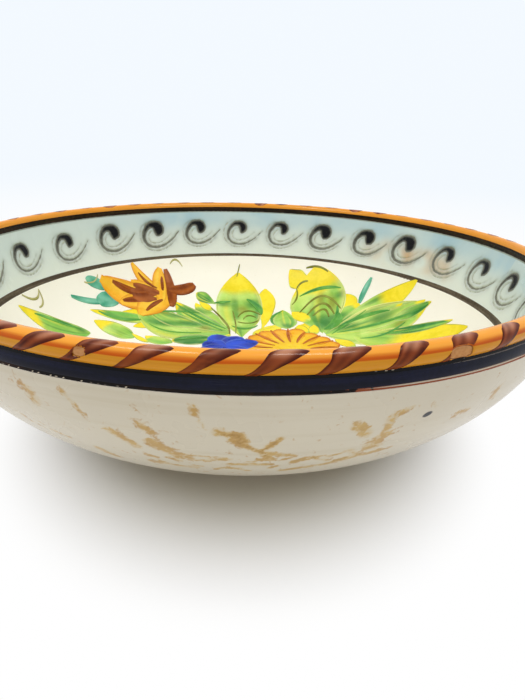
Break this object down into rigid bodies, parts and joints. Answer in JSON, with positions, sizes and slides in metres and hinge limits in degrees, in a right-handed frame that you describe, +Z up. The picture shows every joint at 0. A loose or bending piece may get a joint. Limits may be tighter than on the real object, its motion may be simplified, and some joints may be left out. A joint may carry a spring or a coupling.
{
  "type": "sgraffito bowl",
  "caption": "Wide glazed earthenware bowl with a rope-twist rim, a running-scroll border cut through pale slip and a flower spray on its floor.",
  "frame": {"origin": "centre of the face that the foot ring stands on", "axes": "+Z up the axis of the bowl, -Y towards the viewer of the picture"},
  "size_m": [0.309, 0.309, 0.0854],
  "materials": {
    "clay": "bare fired earthenware, matt",
    "outer_cream": "cream slip under clear glaze, with ochre smears",
    "well_cream": "cream slip under clear glaze",
    "border_blue": "pale grey-blue slip under clear glaze",
    "scroll_black": "brown-black glaze pooled in a cut",
    "line_brown": "thin brown drawn line under glaze",
    "rim_orange": "glossy amber-orange glaze",
    "rim_brown": "glossy brown brush strokes, thick enough to feel",
    "line_black": "black glaze in a groove",
    "band_navy": "glossy dark blue glaze",
    "line_clay": "bare clay with black glaze skips",
    "paint_green": "green wash under glaze",
    "paint_yellow": "yellow wash under glaze",
    "paint_dark_green": "dark green strokes under glaze",
    "paint_orange": "orange wash under glaze",
    "paint_brown": "red-brown strokes under glaze",
    "paint_blue": "blue wash under glaze",
    "paint_teal": "blue-green strokes under glaze"
  },
  "bodies": {
    "root": {"clay_body": "clay", "foot_ring": "clay", "outer_slip": "outer_cream", "well_slip": "well_cream", "border_slip": "border_blue", "scroll_inlay": "scroll_black", "scroll_outline": "line_brown", "lip_line": "scroll_black", "border_foot_line": "line_brown", "rim_glaze": "rim_orange", "rim_strokes": "rim_brown", "upper_line": "line_black", "navy_band": "band_navy", "lower_line": "line_clay", "leaf_green": "paint_green", "leaf_tips": "paint_yellow", "leaf_veins": "paint_dark_green", "leaf_outlines": "line_brown", "lily_petals": "paint_orange", "lily_strokes": "paint_brown", "blossom_petals": "paint_orange", "blossom_strokes": "paint_brown", "blossom_heart": "paint_yellow", "blue_petals": "paint_blue", "teal_sprigs": "paint_teal"}
  },
  "joints": []
}
